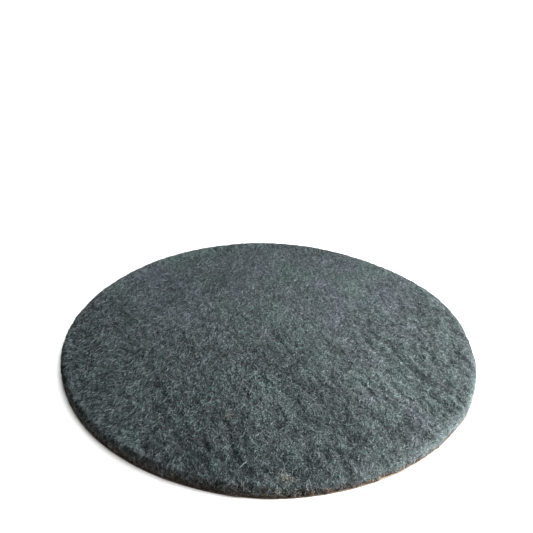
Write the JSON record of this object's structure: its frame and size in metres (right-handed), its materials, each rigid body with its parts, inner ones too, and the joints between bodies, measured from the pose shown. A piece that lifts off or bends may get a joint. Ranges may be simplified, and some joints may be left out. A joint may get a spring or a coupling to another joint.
{
  "type": "felt polishing wheel",
  "caption": "Round dark grey felt polishing disc on an adhesive-coated film backing, lying on a round kraft release liner that it peels off.",
  "frame": {"origin": "centre of the release liner's underside, on the surface that the wheel lies on", "axes": "+Z is the wheel's axis and points up out of the polishing face; +Y points to the edge that the felt disc stays on while it is peeled"},
  "size_m": [0.1516, 0.1516, 0.0045],
  "materials": {
    "felt": "matte",
    "bond_glue": "satin",
    "film": "gloss",
    "tack": "gloss",
    "liner_paper": "satin"
  },
  "bodies": {
    "liner": {"release_liner": "liner_paper"},
    "pad": {"felt_disc": "felt", "bond_adhesive": "bond_glue", "carrier_film": "film", "contact_adhesive": "tack"}
  },
  "joints": [
    {"name": "liner_peel", "type": "hinge", "parent": "liner", "child": "pad", "pos_m": [0, 0.0758, 0.0002], "axis": [-1, 0, 0], "range_deg": [0, 90]}
  ]
}
